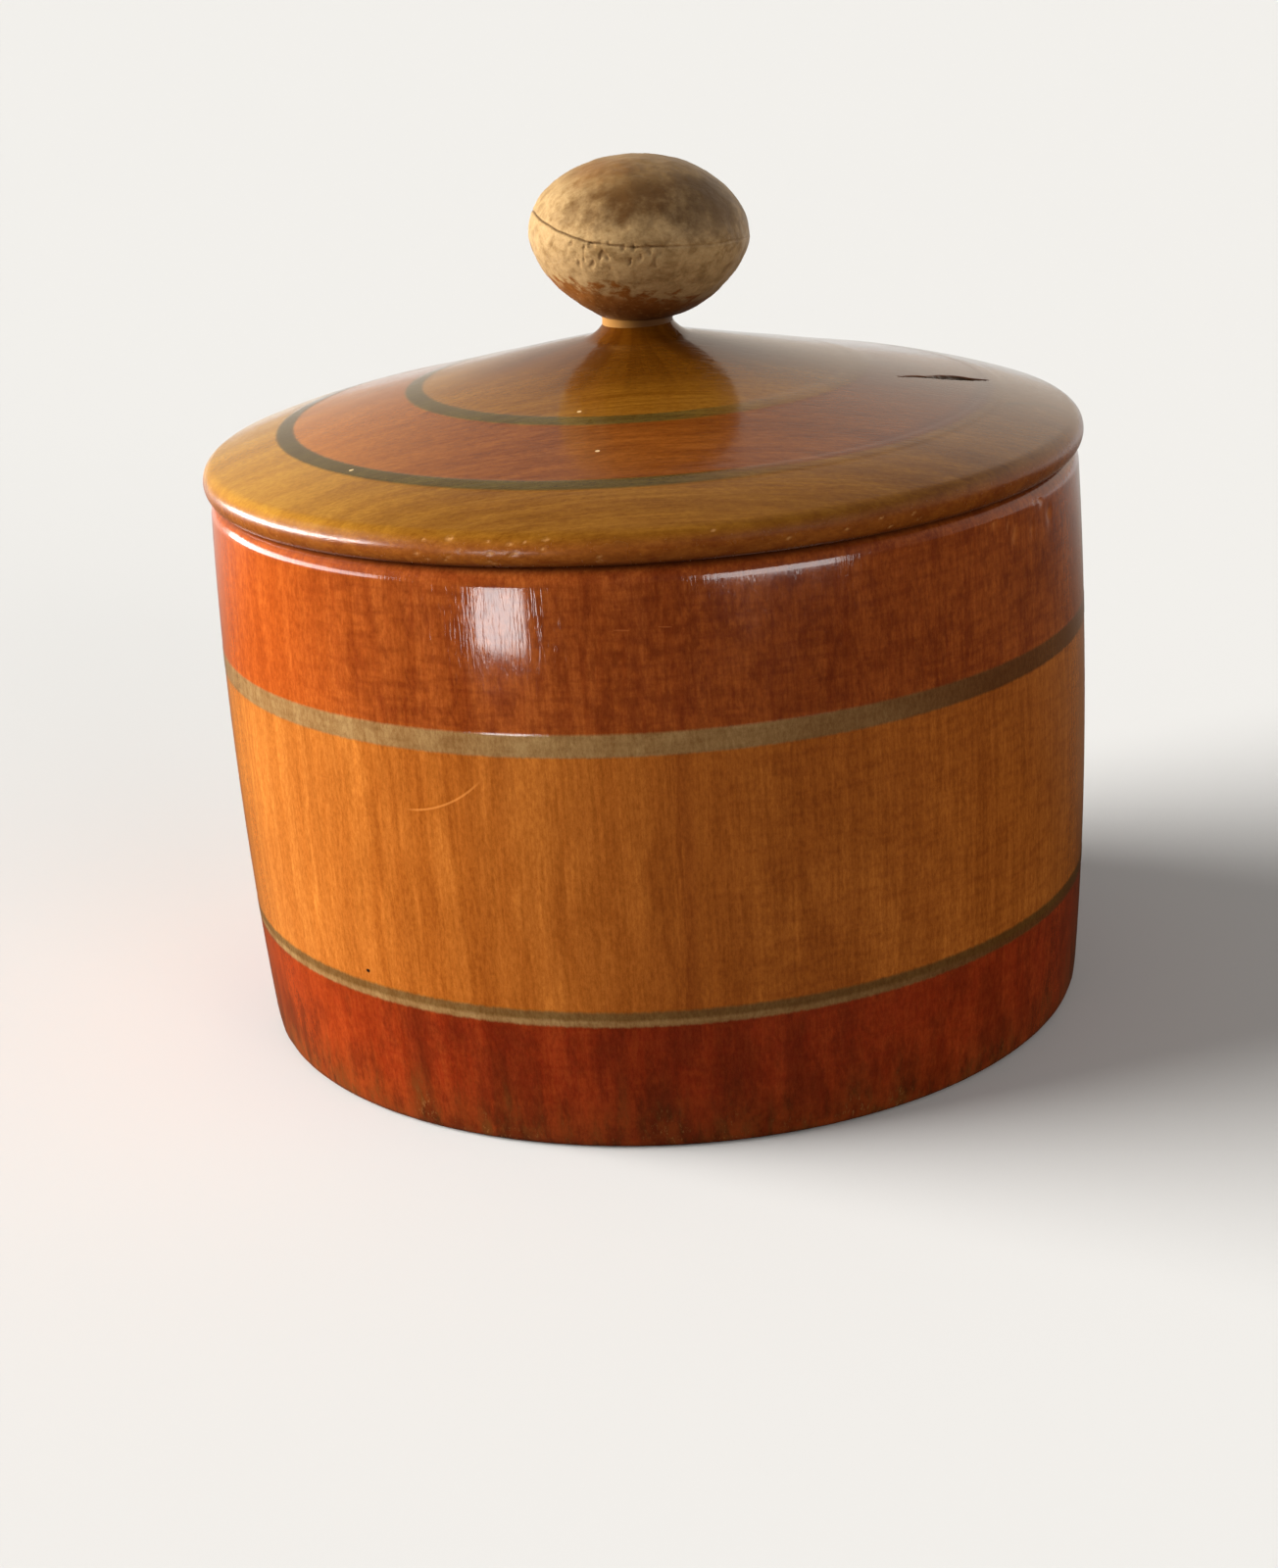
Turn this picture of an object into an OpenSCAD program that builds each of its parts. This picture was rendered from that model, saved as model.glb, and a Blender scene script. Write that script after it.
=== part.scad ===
// Turned wooden powder jar: a hollow body, a lift-off lid that drops into its mouth, and a
// finger knob whose tenon is glued into the lid. Every piece is turned about the Z axis.
// The foot stands on Z = 0. The coloured bands and lines are stain on the wood, not separate rings.

/* [Body] */
// Height of the body, from the foot to the rim that carries the lid
body_h = 64; // [50:1:90]
// Widest diameter of the body, at its belly
body_d = 99.8; // [80:0.2:140]
// Height of the belly above the foot
belly_z = 40; // [25:1:45]
// How far the side draws in, on the radius, from the belly to the foot
foot_taper = 1.7; // [0.4:0.1:4]
// Thickness of the wall at the mouth
wall_t = 5.3; // [4:0.1:8]
// Thickness of the floor
floor_t = 8; // [5:0.5:14]
// Rounding of the shoulder under the lid
shoulder_round = 2; // [0.5:0.1:3]
// Rounding of the outer edge of the foot
foot_round = 1.2; // [0.4:0.1:3]
// Rounding between the floor and the wall, inside
cavity_round = 6; // [1:0.5:12]
// Width of the flat ring that the jar stands on
foot_ring_w = 7; // [4:0.5:14]
// Depth of the turned hollow inside that ring
foot_hollow = 0.8; // [0.3:0.1:2]

/* [Lid] */
// How far the lid's rim stands out past the body's side
lid_overhang = 0.7; // [0:0.1:2]
// Radius of the rounded rim
rim_round = 2.1; // [1.9:0.05:3]
// Height of the rim's widest point above the seat
rim_mid_h = 1.7; // [1:0.05:1.85]
// Slope of the lid's face at the rim, in degrees
rim_slope = 20; // [16:0.5:28]
// Radius of the face's roll from the rim's slope to the cone's
dome_round = 80; // [50:1:110]
// Slope of the cone, in degrees
cone_slope = 12.5; // [8:0.5:15]
// Radius of the hollow sweep from the cone up to the knob
sweep_round = 4; // [2:0.25:7]
// Slope at which the sweep meets the knob, in degrees
sweep_slope = 55; // [35:1:75]
// Depth of the ring that drops into the mouth
spigot_h = 5.5; // [3:0.5:10]
// Thickness of that ring
spigot_t = 3.4; // [2:0.1:6]
// Gap all round between the ring and the mouth
lid_gap = 0.4; // [0.2:0.05:0.8]
// Chamfer on the ring's lower edges
spigot_chamfer = 0.6; // [0.2:0.1:0.9]
// Rise of the hollow in the lid's underside
dish_h = 3; // [1:0.25:4]

/* [Knob] */
// Widest diameter of the knob
knob_d = 24.7; // [16:0.1:34]
// Height of the knob above the lid, with its collar
knob_h = 18.5; // [14:0.1:26]
// Height of the knob's widest point above the lid
knob_mid_h = 9.8; // [6:0.1:12]
// Fullness of the knob below that point: 2 is an ellipse, and less runs straighter into the collar
knob_fullness = 1.72; // [1.5:0.02:2]
// Diameter of the collar where the knob meets the lid
collar_d = 8; // [7.5:0.1:11]
// Height of the collar
collar_h = 0.8; // [0.3:0.1:2]
// Diameter of the tenon
tenon_d = 6; // [4:0.1:6.6]
// Length of the tenon
tenon_l = 8.5; // [5:0.5:9]
// Gap round the tenon for the glue
glue_gap = 0.1; // [0.05:0.05:0.2]
// Chamfer on the tenon's end
tenon_chamfer = 0.5; // [0.2:0.1:1]

/* [Bands] */
// Width of the red-brown band at the foot
lower_band_w = 14.7; // [8:0.1:20]
// Width of the line above it
lower_line_w = 1.6; // [0.8:0.1:3]
// Width of the red-brown band below the rim
upper_band_w = 17.1; // [8:0.1:20]
// Width of the line below that band
upper_line_w = 2.4; // [0.8:0.1:4]
// Width of the lid's outer ring, measured in from the rim
outer_ring_w = 8.7; // [5:0.1:12]
// Width of the lid's red-brown ring
red_ring_w = 12.9; // [8:0.1:16]
// Width of the two lines on the lid
lid_line_w = 2; // [1:0.1:3]
// Stain of the red-brown bands
red_stain = "#8a3a17";
// Stain of the yellow bands
yellow_stain = "#c07a30";
// Stain of the lines
line_stain = "#6b5230";
// Worn wood of the knob
knob_wood = "#b08a5c";

/* [Hidden] */
$fn = 120;
// Steps along each rounded stretch of an outline, and along the long curve of the side
arc_steps = 10;
side_steps = 16;
// Overshoot of a cut past the face that it opens
cut = 1;

// The side is one arc through the foot and the belly, with its centre at the belly's height
belly_r = body_d / 2;
side_r = (belly_z * belly_z + foot_taper * foot_taper) / (2 * foot_taper);
function body_r(z) = belly_r - side_r + sqrt(side_r * side_r - (z - belly_z) * (z - belly_z));
rim_r = body_r(body_h);
mouth_r = rim_r - wall_t;
foot_edge_r = body_r(foot_round) - foot_round;

// The lid's places, with heights measured from its seat on the body's rim
lid_r = rim_r + lid_overhang;
spigot_r = mouth_r - lid_gap;
dish_r = spigot_r - spigot_t;
collar_r = collar_d / 2;
rim_centre = [lid_r - rim_round, rim_mid_h];
rim_top = rim_centre + rim_round * [sin(rim_slope), cos(rim_slope)];
dome_centre = rim_top - dome_round * [sin(rim_slope), cos(rim_slope)];
cone_foot = dome_centre + dome_round * [sin(cone_slope), cos(cone_slope)];
sweep_foot_r = collar_r + sweep_round * (sin(sweep_slope) - sin(cone_slope));
sweep_foot_z = cone_foot[1] + (cone_foot[0] - sweep_foot_r) * tan(cone_slope);
sweep_centre = [sweep_foot_r, sweep_foot_z] + sweep_round * [sin(cone_slope), cos(cone_slope)];
lid_h = sweep_centre[1] - sweep_round * cos(sweep_slope);
dish_round = (dish_r * dish_r + dish_h * dish_h) / (2 * dish_h);

// The knob's places, with heights measured from the top of the lid
knob_r = knob_d / 2;
tenon_r = tenon_d / 2;
knob_low_angle = -acos(pow(collar_r / knob_r, knob_fullness / 2));
knob_low_h = (knob_mid_h - collar_h) / pow(-sin(knob_low_angle), 2 / knob_fullness);
knob_high_h = knob_h - knob_mid_h;
socket_r = tenon_r + glue_gap;
socket_z = lid_h - tenon_l - glue_gap;

// Stained bands of the body as [lower height, upper height, stain]
lower_line_z = lower_band_w + lower_line_w;
upper_line_z = body_h - upper_band_w - upper_line_w;
body_bands = [
    [0, lower_band_w, red_stain],
    [lower_band_w, lower_line_z, line_stain],
    [lower_line_z, upper_line_z, yellow_stain],
    [upper_line_z, upper_line_z + upper_line_w, line_stain],
    [upper_line_z + upper_line_w, body_h, red_stain],
];

// Height of the lid's face at a radius, to a hundredth, so that neighbouring stains share one flat face
function hundredth(x) = round(x * 100) / 100;
function lid_face_z(r) = hundredth(r < cone_foot[0]
    ? cone_foot[1] + (cone_foot[0] - r) * tan(cone_slope)
    : dome_centre[1] + sqrt(pow(dome_round, 2) - pow(r - dome_centre[0], 2)));

// Stained rings of the lid as [lower height, upper height, stain]
outer_ring_r = lid_r - outer_ring_w;
red_ring_r = outer_ring_r - lid_line_w;
inner_line_r = red_ring_r - red_ring_w;
cone_r = inner_line_r - lid_line_w;
lid_rings = [
    [-spigot_h, lid_face_z(outer_ring_r), yellow_stain],
    [lid_face_z(outer_ring_r), lid_face_z(red_ring_r), line_stain],
    [lid_face_z(red_ring_r), lid_face_z(inner_line_r), red_stain],
    [lid_face_z(inner_line_r), lid_face_z(cone_r), line_stain],
    [lid_face_z(cone_r), lid_h, yellow_stain],
];

// Points of an arc, with its angles measured from the outward radius
function arc(centre, radius, from, to, steps = arc_steps) =
    [for (i = [0:steps]) let (a = from + (to - from) * i / steps) centre + radius * [cos(a), sin(a)]];

// Points of a quarter egg about the axis, of a given reach above or below its middle and a given fullness
function egg(radius, mid_h, reach, from, to, fullness = 2) =
    [for (p = arc([0, 0], 1, from, to))
        [radius * pow(abs(p[0]), 2 / fullness), mid_h + reach * sign(p[1]) * pow(abs(p[1]), 2 / fullness)]];

// Half section of the body's outside
module body_outside() {
    side_top = body_h - shoulder_round;
    polygon(concat(
        [[0, 0]],
        arc([foot_edge_r, foot_round], foot_round, -90, 0),
        [for (i = [1:side_steps - 1])
            let (z = foot_round + (side_top - foot_round) * i / side_steps) [body_r(z), z]],
        arc([body_r(side_top) - shoulder_round, side_top], shoulder_round, 0, 90),
        [[0, body_h]]
    ));
}

// Half section of the powder space
module powder_space() {
    polygon(concat(
        [[0, floor_t]],
        arc([mouth_r - cavity_round, floor_t + cavity_round], cavity_round, -90, 0),
        [[mouth_r, body_h + cut], [0, body_h + cut]]
    ));
}

// Half section of the shallow hollow under the foot
module foot_recess() {
    recess_r = foot_edge_r - foot_ring_w;
    polygon([[0, -cut], [recess_r, -cut], [recess_r, 0], [0, foot_hollow]]);
}

module body_section() {
    difference() {
        body_outside();
        powder_space();
        foot_recess();
    }
}

// Half section of the lid above and below its seat, with the knob's socket open to the top
module lid_section() {
    rim_low_angle = -asin(rim_mid_h / rim_round);
    difference() {
        polygon(concat(
            [[dish_r, -spigot_h + spigot_chamfer], [dish_r + spigot_chamfer, -spigot_h]],
            [[spigot_r - spigot_chamfer, -spigot_h], [spigot_r, -spigot_h + spigot_chamfer], [spigot_r, 0]],
            arc(rim_centre, rim_round, rim_low_angle, 90 - rim_slope),
            arc(dome_centre, dome_round, 90 - rim_slope, 90 - cone_slope),
            arc(sweep_centre, sweep_round, 270 - cone_slope, 270 - sweep_slope),
            [[0, lid_h]],
            arc([0, dish_h - dish_round], dish_round, 90, acos(dish_r / dish_round))
        ));
        translate([0, socket_z]) square([socket_r, tenon_l + cut]);
    }
}

// A half section turned about the axis and stained in bands by height
module stained(bands) {
    for (band = bands)
        color(band[2])
            rotate_extrude()
                intersection() {
                    children();
                    translate([0, band[0]]) square([belly_r + lid_overhang, band[1] - band[0]]);
                }
}

// The body on its foot
module body() {
    stained(body_bands) body_section();
}

// The lid on the body's rim
module lid() {
    translate([0, 0, body_h]) stained(lid_rings) lid_section();
}

// The knob on the lid, with its tenon in the socket
module knob() {
    color(knob_wood)
        translate([0, 0, body_h + lid_h])
            rotate_extrude()
                polygon(concat(
                    [[0, -tenon_l], [tenon_r - tenon_chamfer, -tenon_l]],
                    [[tenon_r, -tenon_l + tenon_chamfer], [tenon_r, 0], [collar_r, 0]],
                    egg(knob_r, knob_mid_h, knob_low_h, knob_low_angle, 0, knob_fullness),
                    egg(knob_r, knob_mid_h, knob_high_h, 0, 90)
                ));
}

body();
lid();
knob();
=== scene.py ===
"""Looks of a turned wooden powder jar: a stained and lacquered body and lid, and a worn bare knob.

Each piece is turned again as a fine mesh on the outline of its CAD solid, with its marks of use cut
into it, and gets a node material that works in the jar's own coordinates. Lengths are in millimetres
with heights from the foot, until a mesh, a lamp or the camera is made.
"""

import math

import bpy
import numpy as np
from mathutils import Matrix, Vector, noise


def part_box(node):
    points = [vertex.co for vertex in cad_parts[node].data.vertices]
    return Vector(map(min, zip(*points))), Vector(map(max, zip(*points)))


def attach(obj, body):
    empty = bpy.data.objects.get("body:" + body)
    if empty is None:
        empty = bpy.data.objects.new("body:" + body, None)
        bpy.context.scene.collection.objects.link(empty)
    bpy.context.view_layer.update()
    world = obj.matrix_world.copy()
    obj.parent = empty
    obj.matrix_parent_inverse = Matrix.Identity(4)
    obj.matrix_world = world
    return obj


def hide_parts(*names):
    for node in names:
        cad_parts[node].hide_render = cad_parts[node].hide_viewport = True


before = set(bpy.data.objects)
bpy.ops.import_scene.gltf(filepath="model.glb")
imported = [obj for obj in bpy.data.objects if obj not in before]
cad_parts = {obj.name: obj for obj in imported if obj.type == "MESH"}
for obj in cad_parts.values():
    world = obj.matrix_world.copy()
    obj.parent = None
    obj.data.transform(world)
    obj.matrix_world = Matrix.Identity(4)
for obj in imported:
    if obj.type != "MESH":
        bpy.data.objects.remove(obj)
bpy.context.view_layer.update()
MM = 0.001

# Main sizes, from the frame
body_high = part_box("body")[1]
lid_low, lid_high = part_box("lid")
knob_low, knob_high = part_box("knob")
BODY_H = body_high.z / MM
BELLY_R = body_high.x / MM
LID_R = lid_high.x / MM
LID_TOP = lid_high.z / MM
SPIGOT_FOOT = lid_low.z / MM
KNOB_R = knob_high.x / MM
KNOB_TOP = knob_high.z / MM
TENON_FOOT = knob_low.z / MM

# Body
BELLY_Z = 40
FOOT_TAPER = 1.7
WALL_T = 5.3
FLOOR_T = 8
SHOULDER_ROUND = 2
FOOT_ROUND = 1.2
CAVITY_ROUND = 6
FOOT_RING_W = 7
FOOT_HOLLOW = 0.8
SIDE_R = (BELLY_Z ** 2 + FOOT_TAPER ** 2) / (2 * FOOT_TAPER)


def body_r(z):
    """Radius of the body's side at a height."""
    return BELLY_R - SIDE_R + math.sqrt(SIDE_R ** 2 - (z - BELLY_Z) ** 2)


RIM_R = body_r(BODY_H)
MOUTH_R = RIM_R - WALL_T

# Lid
RIM_ROUND = 2.1
RIM_MID_H = 1.7
RIM_SLOPE = 20
DOME_ROUND = 80
CONE_SLOPE = 12.5
SWEEP_ROUND = 4
SWEEP_SLOPE = 55
LID_GAP = 0.4
SPIGOT_T = 3.4
DISH_H = 3
SPIGOT_R = MOUTH_R - LID_GAP
DISH_R = SPIGOT_R - SPIGOT_T
DISH_ROUND = (DISH_R ** 2 + DISH_H ** 2) / (2 * DISH_H)
SOCKET_GAP = 0.1

# Knob
KNOB_MID_H = 9.8
KNOB_FULLNESS = 1.72
COLLAR_R = 4
COLLAR_H = 0.8
TENON_R = 3
KNOB_MID_Z = LID_TOP + KNOB_MID_H
# The knob was glued in a little off the axis, and leans to the right
KNOB_SHIFT = 0.4
KNOB_LEAN = 4.4
# Radius out to which the lid's top follows the knob's offset
LEAN_REACH = 14

# Small rounding left on the turned edges by sanding
SANDED_EDGE = 0.35

# Stained bands as heights on the body and radii on the lid
LOWER_LINE = (14.7, 16.3)
UPPER_LINE = (44.5, 46.9)
OUTER_LINE = (39.3, 41.3)
INNER_LINE = (24.4, 26.4)
LINE_RAISE = 0.03

# Marks of use, as places on the jar
# Strands of the gouge in the lid, each as three places along it and its width
LID_SPLITS = (
    (Vector((28.8, -7.4, 72.5)), Vector((31.6, -5.5, 72.0)), Vector((35.0, -4.0, 71.4)), 0.6),
    (Vector((30.8, -6.1, 72.2)), Vector((35.2, -3.7, 71.3)), Vector((40.2, -1.3, 70.3)), 1.7),
    (Vector((33.0, -4.4, 71.7)), Vector((35.8, -2.7, 71.2)), Vector((38.8, -2.0, 70.6)), 1.5))
LID_SPLIT_DEPTH = 0.3
SPLIT_RAGGED = 0.16
SPLINTER_W = 0.5
SPLINTER_STRETCH = 0.35
RIM_STREAK = (Vector((39.2, -13.9, 69.9)), Vector((43.0, -9.9, 69.2)), Vector((47.2, -8.4, 67.9)))
LID_SPECKS = (Vector((-30.6, -26.2, 70)), Vector((-4.6, -32.4, 71.6)), Vector((-6.4, -22.2, 74)))
SHOULDER_CHIP = Vector((42.7, -25.0, 60.2))
BODY_SCRATCH = (Vector((-27.7, -41.5, 37.8)), Vector((-22.4, -44.6, 38.9)), Vector((-18.5, -46.3, 41.8)))
BAND_SCRATCHES = ((Vector((-4.0, -49.4, 57.6)), Vector((-2.4, -49.5, 57.5))),
                  (Vector((0.4, -49.5, 57.7)), Vector((1.8, -49.5, 57.6))))
BODY_STREAK = (0.9, 2.6)
BODY_SPECK = Vector((-33.2, -36.8, 17.7))
KNOB_SCORE_H = 10.1
KNOB_SCORE_RISE = 2.5
KNOB_SCORE_BEND = 2.6
KNOB_SCORE_WAVER = 0.14
KNOB_SCORE_W = 0.18
KNOB_SCORE_DEPTH = 0.25

# Unevenness left by turning, sanding and wear, as the height and the size of its lumps
BODY_LUMPS = (0.1, 38)
LID_LUMPS = (0.08, 30)
KNOB_LUMPS = (0.16, 6.5)
KNOB_DIMPLES = (0.09, 2.4)
KNOB_PORES = (0.04, 0.9)
FOOT_WEAR = (0.12, 3.2)
FOOT_WEAR_H = 2.5
SCUFF_FLATNESS = 1.8
BODY_SCUFF_DEPTH = 0.16
LID_SCUFF_DEPTH = 0.1
KNOB_PIT_DEPTH = 0.15

# Steps between the rows of the meshes, and closer ones at the lines and marks
BODY_ROW = 0.8
CONE_ROW = 0.5
FINE_ROW = 0.2
LINE_MARGIN = 0.6
SPLIT_INNER_R = 29
# The knob's rows as steps of its outline's angle, with (from, to, step) of those at the scored line
KNOB_ROW = 0.02
KNOB_SCORE_ROWS = (0, 0.36, 0.009)
# Stretches of the turn that carry fine marks, as (from, to, step) in degrees
BODY_FINE = [(-45, -23, 0.4)]
LID_FINE = [(-124, -101, 0.3), (-100.5, -48, 0.45), (-20, 2, 0.25)]
KNOB_FINE = [(-170, -10, 0.5)]
# Angle in degrees from which an edge between two faces is drawn sharp
SHARP_EDGE = 50

# Lacquer: how strongly it mirrors, and the height of its bump and of the bare knob's
SHINE = 0.35
LACQUER_BUMP = 0.0008
KNOB_BUMP = 0.002

# Floor, with its opening under the foot's ring
FLOOR_R = 5000
FLOOR_SIDES = 96
FLOOR_HOLE_R = body_r(FOOT_ROUND) - FOOT_ROUND - 0.2

# Camera of the photograph: its place, its turn in degrees, and its lens
CAMERA_PLACE = Vector((0, -304.524, 130.869))
CAMERA_YAW = -0.5535
CAMERA_PITCH = 19.3122
CAMERA_ROLL = -3.8464
CAMERA_LENS = 61.913
CAMERA_NEAR = 10
SENSOR_W = 36


def steps(start, stop, coarse, finer=()):
    """Rising steps from start to stop, closer together inside each (low, high, step) span of finer."""
    count = max(1, round((stop - start) / coarse))
    marks = list(np.linspace(start, stop, count + 1))
    for low, high, fine in finer:
        marks = [m for m in marks if m < low - fine / 2 or m > high + fine / 2]
        marks += list(np.linspace(low, high, round((high - low) / fine) + 1))
    return sorted(marks)


def arc(centre_r, centre_z, radius, start, stop, count):
    """Points (r, z) of an arc, with its angles in degrees from the outward radius."""
    turn_angles = np.radians(np.linspace(start, stop, count))
    return [(centre_r + radius * math.cos(a), centre_z + radius * math.sin(a)) for a in turn_angles]


def straight(start, stop, count):
    """Points (r, z) of a straight stretch, without its ends."""
    return [tuple(p) for p in np.linspace(start, stop, count + 2)[1:-1]]


def body_outline():
    """Points (r, z) of the body from the middle of its underside, round the rim, to its floor."""
    foot_edge = body_r(FOOT_ROUND) - FOOT_ROUND
    recess_r = foot_edge - FOOT_RING_W
    side_top = BODY_H - SHOULDER_ROUND
    wall_foot = FLOOR_T + CAVITY_ROUND
    lines = (LOWER_LINE, UPPER_LINE)
    fine_rows = [(low - LINE_MARGIN, high + LINE_MARGIN, FINE_ROW) for low, high in lines]
    side = [(body_r(z), z) for z in steps(FOOT_ROUND, side_top, BODY_ROW, fine_rows)[1:-1]]
    return [
        *straight((0, FOOT_HOLLOW), (recess_r, 0), 16), (recess_r, 0),
        *straight((recess_r, 0), (foot_edge, 0), 6),
        *arc(foot_edge, FOOT_ROUND, FOOT_ROUND, -90, 0, 9),
        *side,
        *arc(body_r(side_top) - SHOULDER_ROUND, side_top, SHOULDER_ROUND, 0, 90, 14),
        *straight((body_r(side_top) - SHOULDER_ROUND, BODY_H), (MOUTH_R + SANDED_EDGE, BODY_H), 4),
        *arc(MOUTH_R + SANDED_EDGE, BODY_H - SANDED_EDGE, SANDED_EDGE, 90, 180, 5),
        *straight((MOUTH_R, BODY_H - SANDED_EDGE), (MOUTH_R, wall_foot), 24),
        *arc(MOUTH_R - CAVITY_ROUND, wall_foot, CAVITY_ROUND, 0, -90, 12),
        *straight((MOUTH_R - CAVITY_ROUND, FLOOR_T), (0, FLOOR_T), 16),
    ], FOOT_HOLLOW, FLOOR_T


def lid_outline():
    """Points (r, z) of the lid from its hollow, round the ring and the rim, to the knob's socket."""
    def upright(angle):
        """The direction (r, z) that stands square on a slope in degrees."""
        return math.sin(math.radians(angle)), math.cos(math.radians(angle))
    rim = (LID_R - RIM_ROUND, BODY_H + RIM_MID_H)
    slope_r, slope_z = upright(RIM_SLOPE)
    cone_r, cone_z = upright(CONE_SLOPE)
    sweep_r, sweep_z = upright(SWEEP_SLOPE)
    dome = (rim[0] + (RIM_ROUND - DOME_ROUND) * slope_r, rim[1] + (RIM_ROUND - DOME_ROUND) * slope_z)
    cone_foot = (dome[0] + DOME_ROUND * cone_r, dome[1] + DOME_ROUND * cone_z)
    sweep_foot = COLLAR_R + SWEEP_ROUND * (sweep_r - cone_r)
    sweep_low = cone_foot[1] + (cone_foot[0] - sweep_foot) * math.tan(math.radians(CONE_SLOPE))
    sweep = (sweep_foot + SWEEP_ROUND * cone_r, sweep_low + SWEEP_ROUND * cone_z)
    seat_angle = -math.degrees(math.asin(RIM_MID_H / RIM_ROUND))
    socket_r = TENON_R + SOCKET_GAP
    socket_foot = TENON_FOOT - SOCKET_GAP
    seat_edge = rim[0] + RIM_ROUND * math.cos(math.radians(seat_angle))
    ring_top = SPIGOT_FOOT + SANDED_EDGE
    dish_edge = math.degrees(math.acos(DISH_R / DISH_ROUND))
    split_rows = [(SPLIT_INNER_R, cone_foot[0], FINE_ROW)]
    cone_rows = steps(sweep_foot, cone_foot[0], CONE_ROW, split_rows)[-2:0:-1]
    cone = [(r, cone_foot[1] + (cone_foot[0] - r) * cone_r / cone_z) for r in cone_rows]
    return [
        *arc(0, BODY_H + DISH_H - DISH_ROUND, DISH_ROUND, 90, dish_edge, 24)[1:],
        *straight((DISH_R, BODY_H), (DISH_R, ring_top), 5),
        *arc(DISH_R + SANDED_EDGE, ring_top, SANDED_EDGE, 180, 270, 5),
        *straight((DISH_R + SANDED_EDGE, SPIGOT_FOOT), (SPIGOT_R - SANDED_EDGE, SPIGOT_FOOT), 3),
        *arc(SPIGOT_R - SANDED_EDGE, ring_top, SANDED_EDGE, -90, 0, 5),
        *straight((SPIGOT_R, ring_top), (SPIGOT_R, BODY_H), 5),
        (SPIGOT_R, BODY_H),
        *straight((SPIGOT_R, BODY_H), (seat_edge, BODY_H), 6),
        *arc(*rim, RIM_ROUND, seat_angle, 90 - RIM_SLOPE, 20),
        *arc(*dome, DOME_ROUND, 90 - RIM_SLOPE, 90 - CONE_SLOPE, 36)[1:],
        *cone,
        *arc(*sweep, SWEEP_ROUND, 270 - CONE_SLOPE, 270 - SWEEP_SLOPE, 12),
        *straight((COLLAR_R, LID_TOP), (socket_r, LID_TOP), 1), (socket_r, LID_TOP),
        *straight((socket_r, LID_TOP), (socket_r, socket_foot), 6), (socket_r, socket_foot),
        *straight((socket_r, socket_foot), (0, socket_foot), 3),
    ], BODY_H + DISH_H, socket_foot


def knob_outline():
    """Points (r, z) of the knob from the end of its tenon, over the collar, to its top."""
    def egg(reach, fullness, angles):
        """Points of the head at some angles, above or below its middle."""
        power = 2 / fullness
        radii = [KNOB_R * math.cos(a) ** power for a in angles]
        rises = [math.copysign(abs(math.sin(a)) ** power, a) for a in angles]
        return [(r, KNOB_MID_Z + reach * rise) for r, rise in zip(radii, rises)]
    low_angle = -math.acos((COLLAR_R / KNOB_R) ** (KNOB_FULLNESS / 2))
    low_reach = (KNOB_MID_H - COLLAR_H) / (-math.sin(low_angle)) ** (2 / KNOB_FULLNESS)
    return [
        *straight((0, TENON_FOOT), (TENON_R - SANDED_EDGE, TENON_FOOT), 3),
        *arc(TENON_R - SANDED_EDGE, TENON_FOOT + SANDED_EDGE, SANDED_EDGE, -90, 0, 4),
        *straight((TENON_R, TENON_FOOT + SANDED_EDGE), (TENON_R, LID_TOP), 8), (TENON_R, LID_TOP),
        *straight((TENON_R, LID_TOP), (COLLAR_R, LID_TOP), 1), (COLLAR_R, LID_TOP),
        *straight((COLLAR_R, LID_TOP), (COLLAR_R, LID_TOP + COLLAR_H), 3),
        *egg(low_reach, KNOB_FULLNESS, steps(low_angle, 0, KNOB_ROW)),
        *egg(KNOB_TOP - KNOB_MID_Z, 2, steps(0, math.pi / 2, KNOB_ROW, [KNOB_SCORE_ROWS])[1:-1]),
    ], TENON_FOOT, KNOB_TOP


def uneven(points, size, seed):
    """Smooth noise from about -1 to 1 at each point, with lumps of a size."""
    offset = Vector((seed, -seed, 2 * seed))
    return np.array([noise.noise(Vector(p) / size + offset) for p in points])


def ease(low, high, values):
    """Smooth step from 0 at low to 1 at high."""
    t = np.clip((values - low) / (high - low), 0, 1)
    return t * t * (3 - 2 * t)


def groove(values, low, high, edge):
    """1 inside a band of values and 0 outside it, over a soft edge."""
    past_low = ease(low - edge / 2, low + edge / 2, values)
    past_high = ease(high - edge / 2, high + edge / 2, values)
    return past_low * (1 - past_high)


def dent(points, centre, radius):
    """A round hollow: 1 at its centre, and 0 from its radius on."""
    away = np.linalg.norm(points - np.array(centre), axis=1) / radius
    return np.clip(1 - away ** 2, 0, 1) ** 2


def bow(start, middle, end):
    """Centre and radius of the ball whose surface carries a bowed line through three places."""
    first, last = start - middle, end - middle
    across = first.cross(last)
    lopsided = first.length_squared * last - last.length_squared * first
    inward = across.cross(lopsided) / (2 * across.length_squared)
    return middle - inward, inward.length


def split(points, places, width):
    """A ragged bowed split through three places: 1 along its middle, and pointed at both ends."""
    centre, radius = bow(*places)
    reach = (places[2] - places[0]).length / 2
    splinters = uneven(points * np.array([SPLINTER_STRETCH, 1, 1]), SPLINTER_W, seed=21)
    ragged = SPLIT_RAGGED * width * splinters
    away = np.abs(np.linalg.norm(points - np.array(centre), axis=1) - radius + ragged)
    far = np.linalg.norm(points - np.array(places[1]), axis=1) / reach
    half = width / 2 * np.clip(1 - far ** 2, 1e-6, 1)
    return np.clip(1 - away / half, 0, 1)


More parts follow.
